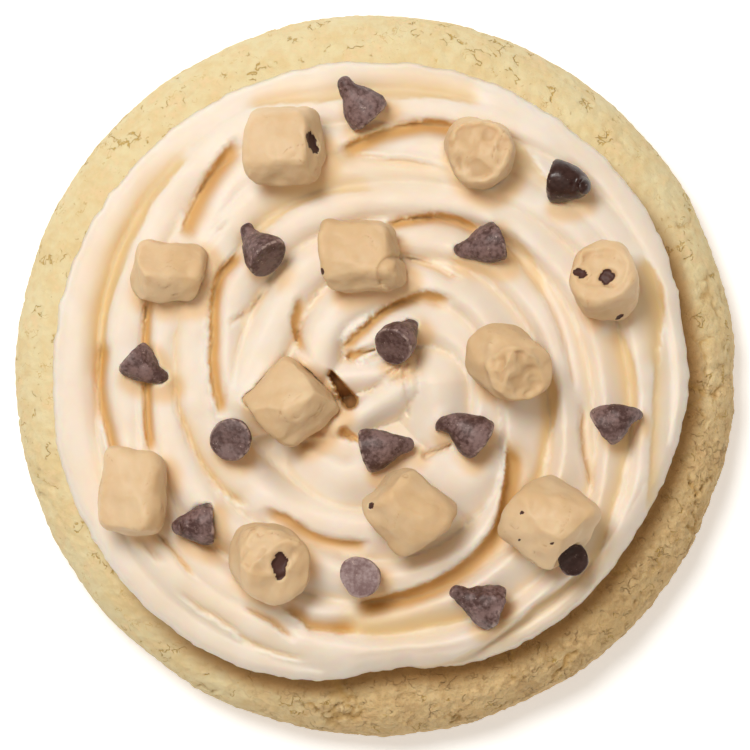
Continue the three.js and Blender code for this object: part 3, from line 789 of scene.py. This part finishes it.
dough = {
    "voxel": 0.3,
    "seed": 21,
    "bevel": 1.7,
    "fill": 0.96, "belly": 0.03, "taper": 0.12, "slant": 0.05,
    "lumps": (0.05, 0.03),      # the swell of two lobes and of three round a section
    "flatten": 0.85,
    "broadSize": 4.5, "broadHeight": 0.55, "fineSize": 1.3, "fineHeight": 0.06,
    "creaseSize": 2.4, "creaseWidth": 0.05, "creaseDepth": 0.2,
    "seatRun": 0.7, "seatDepth": 0.15,
    "tone": (0.735, 0.52, 0.295), "paleTone": (0.79, 0.60, 0.38),
    # painted shade in the creases and in the low spots of torn faces
    "layers": [("crease", 0.15, 1.0, (0.50, 0.27, 0.11), 0.5),
               ("chocolate", 0.3, 0.6, (0.085, 0.035, 0.028), 1.0)],
    "finish": (0.52, 0.35, (0.3, (1.0, 0.5, 0.25), 0.0022)),
    # rope: length, radius, heading, rise and squareness. facets: heading and rise of the
    # face's outward side, and its distance from the middle.
    # torn and marks: middle, half length, half width and heading of an oval, and its depth
    "pieces": [
        {"rope": (10.2, 6.2, 0, 16, 2.4),
         "facets": [(90, 75, 5.4), (270, 40, 5.6)],
         "marks": [(-9.5, 35.0, 1.9, 0.75, 113, 0.9)]},
        {"rope": (9.6, 5.6, 240, 84, 2.3),
         "torn": (15.7, 33.6, 4.8, 4.5, 20, 0.3),
         "facets": [(60, 80, 4.4)]},
        {"rope": (11.2, 4.8, 175, 5, 2.5),
         "facets": [(80, 55, 3.9), (275, 45, 4.0), (200, 20, 5.0)]},
        {"rope": (10.6, 5.8, 0, 12, 2.4),
         "lobe": (3.1, 15.3, 2.3, -10, 0.9),
         "facets": [(100, 70, 5.0), (270, 35, 5.2)],
         "marks": [(-8.0, 15.5, 0.5, 0.35, 80, 0.3)]},
        {"rope": (10, 5.3, 112, 66, 2.2),
         "torn": (34.2, 16.0, 4.0, 3.3, 10, 0.3),
         "facets": [(112, 66, 4.6)],
         "marks": [(30.9, 15.2, 1.15, 0.75, 160, 0.6), (34.9, 14.7, 1.3, 1.1, 20, 0.6),
                   (36.9, 8.8, 0.7, 0.3, 30, 0.3)]},
        {"rope": (10.8, 5.1, 327, 50, 2.2),
         "torn": (21.2, 0.2, 4.4, 3.6, 330, 0.4),
         "facets": [(327, 52, 4.9), (150, 45, 4.9)]},
        {"rope": (11, 5.8, 40, 8, 2.6),
         "facets": [(120, 60, 5.2), (240, 50, 5.6), (320, 40, 5.6)]},
        {"rope": (11.6, 5.3, 264, 14, 2.4),
         "facets": [(180, 70, 4.8)]},
        {"rope": (10.2, 5.5, 315, 62, 2.4),
         "torn": (-16.0, -26.6, 4.6, 3.6, 20, 0.25),
         "facets": [(315, 66, 4.8), (120, 50, 5.2)],
         "marks": [(-14.3, -28.7, 2.2, 1.15, 95, 0.7), (-22.0, -30.2, 0.75, 0.4, 100, 0.4)]},
        {"rope": (11, 5.4, 130, 15, 2.6),
         "facets": [(40, 60, 4.9), (220, 45, 5.0)],
         "marks": [(-0.5, -19.6, 0.5, 0.4, 60, 0.3)]},
        {"rope": (11.6, 5.7, 325, 26, 2.8),
         "facets": [(80, 70, 5.0), (235, 45, 5.2)],
         "socket": ((29.9, -28.1, 30.9), 308, 64, 2.8),
         "marks": [(22.1, -20.7, 0.35, 0.25, 0, 0.2), (21.7, -24.8, 0.3, 0.25, 0, 0.2),
                   (26.5, -25.3, 0.35, 0.25, 0, 0.2)]},
    ],
}
fitRange = (0.85, 1.08)     # how far a piece may be scaled to fill the box of its node


def makeDoughMaterial():
    material, tree = startMaterial("raw_dough")
    tone = mixColours(tree, useGroup(tree, mottle, 130, 500, 0.3), dough["tone"], dough["paleTone"])
    tone = addLayers(tree, tone, dough["layers"])
    endMaterial(tree, tone, useGroup(tree, grain, 500, 1600, 0.2, 0.12, 0.0003), *dough["finish"])
    return material


def settle(piece, points, node):
    # the middle of the piece's box goes on the middle of the node's
    shaped = points * mm
    low, high = shaped.min(axis=0), shaped.max(axis=0)
    nodeLow, nodeHigh = (np.array(corner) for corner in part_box(node))
    fit = np.clip((nodeHigh - nodeLow) / (high - low), *fitRange)
    writePoints(piece, (shaped - (low + high) / 2) * fit + (nodeLow + nodeHigh) / 2)


def fromOval(points, x, y, halfLength, halfWidth, heading):
    # distance from the middle of an oval seen from above, 1 on its edge
    turn = math.radians(heading)
    across, up = points[:, 0] - x, points[:, 1] - y
    along = (across * math.cos(turn) + up * math.sin(turn)) / halfLength
    aside = (up * math.cos(turn) - across * math.sin(turn)) / halfWidth
    return np.hypot(along, aside)


def markDough(piece, marks):
    # torn openings in the top of a piece, with the chocolate inside showing
    points = readPoints(piece) / mm
    upward = readNormals(piece)[:, 2] > 0
    chocolateShare, sink = np.zeros(len(points)), np.zeros(len(points))
    for x, y, halfLength, halfWidth, heading, depth in marks:
        distance = fromOval(points, x, y, halfLength, halfWidth, heading)
        distance += 0.35 * fractal(points + x, 1.1, 2)
        inside = (1 - ramp(distance, 0.8, 1.05)) * upward
        chocolateShare = np.maximum(chocolateShare, inside)
        sink = sink + depth * inside - 0.25 * depth * band(distance, 1.25, 0.3) * upward
    points[:, 2] -= sink
    writePoints(piece, points * mm)
    keepValues(piece, "chocolate", chocolateShare)


def tearFace(piece, x, y, halfLength, halfWidth, heading, relief):
    # a torn end: a raised broken rim round a face of uneven ridges
    points, normals = readPoints(piece) / mm, readNormals(piece)
    distance = fromOval(points, x, y, halfLength, halfWidth, heading) + 0.16 * fractal(points + x, 2.6, 2)
    facing = ramp(normals[:, 2], 0.0, 0.5)
    inside = (1 - ramp(distance, 0.82, 1.0)) * facing
    rim = band(distance, 0.98, 0.12) * facing
    ridges = 1 - 2 * np.abs(fractal(points + y, 3.4, 2))
    points += normals * (relief * ((ridges - 0.6) * inside + 0.7 * rim) - 0.25 * inside)[:, None]
    writePoints(piece, points * mm)
    # the low spots of the torn face get painted shade
    crease = np.clip((0.6 - ridges) * 1.2, 0, 0.6) * inside
    keepValues(piece, "crease", np.maximum(readValues(piece, "crease"), crease))


def pushLobe(piece, x, y, radius, heading, push):
    # a flap folded over the side, with a crease round it
    points = readPoints(piece) / mm
    distance = np.hypot(points[:, 0] - x, points[:, 1] - y) / radius
    bulge = np.sqrt(np.clip(1 - distance ** 2, 0, 1))
    crease = band(distance, 1.05, 0.14)
    points += np.array(direction(heading, 0)) * (push * bulge - 0.35 * push * crease)[:, None]
    points[:, 2] += 0.25 * push * bulge - 0.3 * push * crease
    writePoints(piece, points * mm)


def pressSocket(piece, place, heading, rise, radius):
    # flattens a round seat, so a chip pressed into the dough stays in sight
    outward = np.array(direction(heading, rise))
    points = readPoints(piece) / mm
    reach = points - np.array(place)
    over = reach @ outward
    aside = np.linalg.norm(reach - over[:, None] * outward, axis=1)
    inside = (1 - ramp(aside, radius, radius + dough["seatRun"])) * (over > -dough["seatDepth"])
    points -= outward * ((over + dough["seatDepth"]) * inside)[:, None]
    writePoints(piece, points * mm)


def squeezedRope(points, length, radius, square, draw):
    # the section swells to a rounded square with lumps, and the cut ends slant
    turn = np.arctan2(points[:, 1], points[:, 0])
    corner = np.abs(np.cos(turn)) ** square + np.abs(np.sin(turn)) ** square
    lobe, bend = draw.random() * math.pi, draw.random() * math.pi
    taper = (draw.random() - 0.5) * dough["taper"]
    along = points[:, 2] / (length / 2)
    across = np.hypot(points[:, 0], points[:, 1]) / radius
    two, three = dough["lumps"]
    swell = corner ** (-1 / square) * dough["fill"] * (1 + taper * along)
    belly = dough["belly"] * (1 - along ** 2)
    swell *= 1 + two * np.sin(2 * turn + lobe) + three * np.sin(3 * turn + bend) + belly
    points[:, :2] *= swell[:, None]
    points[:, 2] += dough["slant"] * length * np.sin(turn + bend) * across
    return points


def makeDough(index, values, material):
    node = f"dough_chunk_{index + 1:02d}"
    length, radius, heading, rise, square = values["rope"]
    draw = random.Random(index + dough["seed"])
    deselectAll()
    bpy.ops.mesh.primitive_cylinder_add(vertices=48, radius=radius, depth=length)
    piece = bpy.context.active_object
    piece.name = f"dough_piece_{index + 1:02d}"
    addModifier(piece, "BEVEL", width=dough["bevel"], segments=4, limit_method="ANGLE")
    addModifier(piece, "REMESH", mode="VOXEL", voxel_size=dough["voxel"])
    points = turnedTo(squeezedRope(readPoints(piece), length, radius, square, draw), heading, rise)
    for faceHeading, faceRise, distance in values["facets"]:
        outward = np.array(direction(faceHeading, faceRise))
        over = np.maximum(points @ outward - distance, 0)
        points -= outward * (over * dough["flatten"])[:, None]
    writePoints(piece, points)
    addModifier(piece, "SMOOTH", factor=0.5, iterations=10)
    points = readPoints(piece)
    offset = np.array([draw.random() * 40 for axis in range(3)])
    broad = fractal(points + offset, dough["broadSize"], 2)
    fine = fractal(points + offset, dough["fineSize"], 3)
    lines = np.array([noise.noise(Vector(point)) for point in (points + offset) / dough["creaseSize"]])
    crease = np.clip(1 - np.abs(lines) / dough["creaseWidth"], 0, 1) * np.clip(broad * 2, 0, 1)
    relief = dough["broadHeight"] * broad + dough["fineHeight"] * fine - dough["creaseDepth"] * crease
    points += readNormals(piece) * relief[:, None]
    # the creases also get painted shade in the material
    keepValues(piece, "crease", crease)
    settle(piece, points, node)
    for key, shape in {"torn": tearFace, "lobe": pushLobe, "socket": pressSocket}.items():
        if key in values:
            shape(piece, *values[key])
    markDough(piece, values.get("marks", []))
    finishPiece(piece, material, node)
    return piece


# chocolate chips: small drops with a flat base and a curled tip

chocolate = {
    "length": 7.5, "radius": 3.25,
    "segments": 56, "stations": 44,
    "seed": 61,
    "profile": [(0, 0), (0.5, 0.0), (0.9, 0.0), (0.975, 0.015), (1.0, 0.06), (0.985, 0.17), (0.93, 0.28),
                (0.81, 0.41), (0.66, 0.53), (0.52, 0.63), (0.42, 0.73), (0.355, 0.82), (0.31, 0.90),
                (0.24, 0.955), (0.13, 0.99), (0, 1.0)],
    "stretch": 2.3,         # how much longer than wide a chip counts as when the rings are spaced
    "lumps": (0.05, 0.03),
    "bendFrom": 0.45, "bendTurn": 1.9,
    "dentDepth": 0.24, "dentSize": 2.6, "pitDepth": 0.05, "pitSize": 0.6,
    "scuffTone": (0.55, 0.42, 0.38), "specular": 0.45,
    # dark tone, bloom tone, share of bloom, roughness
    "looks": {
        "bloomed_chocolate": ((0.075, 0.035, 0.032), (0.29, 0.19, 0.185), 0.8, 0.5),
        "dark_chocolate": ((0.03, 0.011, 0.009), (0.10, 0.05, 0.045), 0.35, 0.3),
        "pale_chocolate": ((0.20, 0.12, 0.12), (0.50, 0.40, 0.41), 0.9, 0.6),
    },
    # heading and rise of the tip, curl, size, share of dents and look
    "chips": [
        (130, 12, 0.1, 1.05, 1, "bloomed_chocolate"),
        (350, 15, -1, 1.05, 1, "dark_chocolate"),
        (131, -36, 0.25, 1.05, 1, "bloomed_chocolate"),
        (200, 8, -0.6, 1.02, 1, "bloomed_chocolate"),
        (318, 10, 0.5, 0.92, 1, "bloomed_chocolate"),
        (20, -78, 0, 1, 1, "bloomed_chocolate"),
        (48, -46, 0, 1, 1, "bloomed_chocolate"),
        (12, 14, 0.5, 1.05, 1, "bloomed_chocolate"),
        (145, 14, -0.9, 1.1, 1, "bloomed_chocolate"),
        (33, 14, 0.8, 1, 1, "bloomed_chocolate"),
        (184, 6, 0.9, 0.98, 1, "bloomed_chocolate"),
        (0, -84, 0, 0.96, 1, "pale_chocolate"),
        (160, 10, 0.3, 1.12, 2.2, "bloomed_chocolate"),
        (128, -64, 0, 0.82, 1, "dark_chocolate"),
    ],
}


def makeChocolateMaterial(name):
    darkTone, bloomTone, bloomShare, roughness = chocolate["looks"][name]
    material, tree = startMaterial(name)
    bloom = useGroup(tree, mottle, 330, 1700, 0.45, 0.38, 0.62)
    tone = mixColours(tree, bloom, darkTone, bloomTone, bloomShare)
    tone = mixColours(tree, attributeMask(tree, "base", 0.0, 1.0), tone, darkTone, 0.45 * bloomShare)
    scuffs = useGroup(tree, mottle, 900, 2600, 0.6, 0.6, 0.66)
    tone = mixColours(tree, scuffs, tone, chocolate["scuffTone"], 0.6 * bloomShare)
    worn = combine(tree, "MULTIPLY", useGroup(tree, mottle, 500, 1500, 0.5, 0.45, 0.56),
                   attributeMask(tree, "rim", 0.1, 0.9))
    tone = mixColours(tree, worn, tone, chocolate["scuffTone"], 0.8 * bloomShare)
    normal = useGroup(tree, grain, 900, 1400, 0.35, 0.4, 0.00025)
    endMaterial(tree, tone, normal, roughness, chocolate["specular"])
    return material


def curlTip(points, width, turn, length, curl):
    # bends what lies past a share of the length over to one side
    bendFrom = chocolate["bendFrom"]
    share = points[:, 2] / length
    bend = curl * chocolate["bendTurn"] * np.maximum(share - bendFrom, 0)
    reach = points[:, 2] - bendFrom * length
    curled = share > bendFrom
    over = bendFrom * length + reach * np.cos(bend) - width * np.cos(turn) * np.sin(bend)
    points[:, 0] = np.where(curled, points[:, 0] * np.cos(bend) + reach * np.sin(bend), points[:, 0])
    points[:, 2] = np.where(curled, over, points[:, 2])
    return points


def makeChip(index, values, materials):
    heading, rise, curl, size, crumple, look = values
    node = f"chip_{index + 1:02d}"
    draw = random.Random(index + chocolate["seed"])
    stations = chocolate["stations"]
    piece, station, turn = spunDisc(f"chocolate_{node}", stations, chocolate["segments"])
    across, along = (np.array(row) for row in zip(*chocolate["profile"]))
    run = np.cumsum(np.hypot(np.diff(across), np.diff(along) * chocolate["stretch"]))
    run = np.concatenate([[0], run])
    places = np.linspace(0, run[-1], stations)
    across, along = np.interp(places, run, across), np.interp(places, run, along)
    length, radius = chocolate["length"] * size, chocolate["radius"] * size
    level, width = along[station] * length, across[station] * radius
    points, share = spun(width, turn, level), level / length
    lobe = draw.random() * math.pi
    two, three = chocolate["lumps"]
    points[:, :2] *= (1 + two * np.sin(2 * turn + lobe) + three * np.sin(3 * turn))[:, None]
    points = curlTip(points, width, turn, length, curl)
    offset = np.array([draw.random() * 40 for axis in range(3)])
    outward = np.column_stack([np.cos(turn), np.sin(turn), np.where(share < 0.02, -1.0, 0.25)])
    outward /= np.linalg.norm(outward, axis=1)[:, None]
    dents = chocolate["dentDepth"] * fractal(points + offset, chocolate["dentSize"], 2)
    dents *= crumple
    dents += chocolate["pitDepth"] * fractal(points + offset, chocolate["pitSize"], 2)
    points += outward * (dents * ramp(width, 0.0, 0.8))[:, None]
    settle(piece, turnedTo(points, heading, rise), node)
    keepValues(piece, "rim", band(share, 0.03, 0.035) * ramp(width, 0.8 * radius, 0.95 * radius))
    keepValues(piece, "base", 1 - ramp(share, 0.005, 0.03))
    closeMesh(piece)
    finishPiece(piece, materials[look], node)
    return piece


# the frosting, dented where the toppings press in

frosting = {
    "rings": 232,
    "segments": 404,
    "under": [0.995, 0.96, 0.75, 0.4, 0.0],    # rings of the underside, as shares of the edge
    "unsnapped": (6, 12),   # rings at the eye and at the edge that stay where they are
    "contactGap": 0.3, "least": 0.1,
    "rimHeight": 0.35, "rimSize": 3.0,
    "waveHeight": 0.3, "waveSize": 7.0, "waveRun": 4,
    "valleyReach": 2.4, "valleyDepth": 1.2,
    "dentGap": -0.25, "dentReach": 3.6,
    "lipHeight": 0.45, "climb": 2.2, "lipReach": 1.1, "groove": 0.15, "grooveFrom": 0.3,
    "shadeShift": (-1.1, 1.5, 0.6), "shadeReach": 1.9,
    "cream": (0.92, 0.85, 0.77), "warmCream": (0.90, 0.80, 0.68),
    # layers of painted shade: the first in the valleys, where a place lies below what surrounds it
    "layers": [("valley_shade", 0.0, 1.0, (0.87, 0.70, 0.47), 0.45),
               ("shade", 0.1, 1.0, (0.85, 0.60, 0.33), 0.8),
               # painted shade on the soft hollows, deepest at their crisp edges
               ("slope_and_shade", 0.0, 1.0, (0.83, 0.63, 0.34), 0.95),
               # painted shade in the folds, and a darker painted shade in the deepest gaps
               ("fold_shade", 0.1, 2.0, (0.68, 0.40, 0.13), 0.9),
               ("fold_shade", 2.45, 2.9, (0.30, 0.14, 0.05), 0.9)],
    "finish": (0.5, 0.35, (0.55, (1.0, 0.52, 0.24), 0.0015)),
}


def makeFrostingMaterial():
    material, tree = startMaterial("frosting")
    patches = useGroup(tree, mottle, 60, 240, 0.3)
    tone = mixColours(tree, patches, frosting["cream"], frosting["warmCream"])
    tone = addLayers(tree, tone, frosting["layers"])
    endMaterial(tree, tone, useGroup(tree, grain, 350, 900, 0.15, 0.12, 0.0003), *frosting["finish"])
    return material


def pressedIn(x, y, top, toppings):
    # lowers the frosting below each topping and raises a small lip round it; shade is how near
    # a topping stands on the side that the light comes from
    pressed, shade = top.copy(), np.zeros(len(top))
    reach = frosting["dentReach"]
    for topping in toppings:
        points = readPoints(topping) / mm
        low, high = points.min(axis=0), points.max(axis=0)
        tree = BVHTree.FromPolygons([tuple(point) for point in points],
                                    [tuple(face.vertices) for face in topping.data.polygons])
        near = (x > low[0] - reach) & (x < high[0] + reach) & (y > low[1] - reach) & (y < high[1] + reach)
        for index in np.nonzero(near)[0]:
            hit = tree.ray_cast(Vector((x[index], y[index], low[2] - 5)), Vector((0, 0, 1)))[0]
            limit = hit.z - frosting["dentGap"] if hit else 1000
            if pressed[index] > limit:
                pressed[index] = limit
                continue
            spot = Vector((x[index], y[index], pressed[index]))
            touch, _, _, away = tree.find_nearest(spot)
            litFrom = tree.find_nearest(spot + Vector(frosting["shadeShift"]))[3]
            shade[index] = max(shade[index], band(litFrom, 0, frosting["shadeReach"]))
            close = band(away, 0, frosting["lipReach"])
            over = pressed[index] - touch.z
            if not hit and over > frosting["grooveFrom"]:
                pressed[index] -= frosting["groove"] * over * close
            else:
                climb = min(max(-over, frosting["lipHeight"]), frosting["climb"])
                pressed[index] = min(pressed[index] + climb * close, limit)
    return pressed, shade


def valleyShare(x, y, edge, height):
    # how far a place lies below what surrounds it, which sets the painted shade in the valleys
    reach = frosting["valleyReach"]
    around = [frostingHeight(x + reach * math.cos(side * math.pi / 4),
                             y + reach * math.sin(side * math.pi / 4), edge)[0] for side in range(8)]
    return np.clip((np.mean(around, axis=0) - height) / frosting["valleyDepth"], 0, 1)


def makeFrosting(toppings):
    rings = frosting["rings"]
    shares = np.concatenate([np.linspace(0, 1, rings + 1), frosting["under"]])
    piece, station, turn = spunDisc("piped_frosting", len(shares), frosting["segments"])
    angle = (-np.degrees(turn)) % 360
    rim = spun(1, turn, 0 * turn) * 50
    edge = outlineAt(angle) + frosting["rimHeight"] * fractal(rim, frosting["rimSize"], 3)
    radius = shares[station] * edge
    first, last = frosting["unsnapped"]
    upper = (station > first) & (station < rings - last)
    radius = np.where(upper, snapToFolds(radius, angle, 0.5 * edge / rings), radius)
    x = swirl["eye"][0] + radius * np.cos(turn)
    y = swirl["eye"][1] + radius * np.sin(turn)
    above = station <= rings
    height, folds, hollows = frostingHeight(x, y, edge)
    valley = valleyShare(x, y, edge, height) * ramp(edge - radius, 1.5, 4)
    wave = frosting["waveHeight"] * fractal(np.column_stack([x, y, 0 * x]), frosting["waveSize"], 2)
    inward = np.clip((edge - radius) / frosting["waveRun"], 0, 1)
    ground = cookieTop(np.hypot(x, y)) + frosting["contactGap"]
    top = ground + height + wave * inward
    pressed, shade = pressedIn(x, y, top, toppings)
    top = np.where(above & (station > 0), pressed, top)
    z = np.where(above, np.maximum(top, ground + frosting["least"]), ground)
    writePoints(piece, np.column_stack([x, y, z]) * mm)
    # masks of painted shade for the material: folds and gaps, valleys, soft hollows and the toppings'
    # shadows
    for name, values in {"fold_shade": folds, "valley_shade": valley, "slope_and_shade": hollows, "shade": shade}.items():
        keepValues(piece, name, np.where(above, values, 0))
    closeMesh(piece)
    editMesh(piece, lambda: bpy.ops.mesh.quads_convert_to_tris(quad_method="SHORTEST_DIAGONAL"))
    finishPiece(piece, makeFrostingMaterial(), "frosting")
    print("frosting", len(piece.data.polygons), "faces")
    return piece


makeCookie()
doughMaterial = makeDoughMaterial()
doughPieces = [makeDough(index, values, doughMaterial) for index, values in enumerate(dough["pieces"])]
print("dough", len(doughPieces), "pieces")
chipMaterials = {name: makeChocolateMaterial(name) for name in chocolate["looks"]}
chipPieces = [makeChip(index, values, chipMaterials) for index, values in enumerate(chocolate["chips"])]
print("chips", len(chipPieces))
makeFrosting(doughPieces + chipPieces)
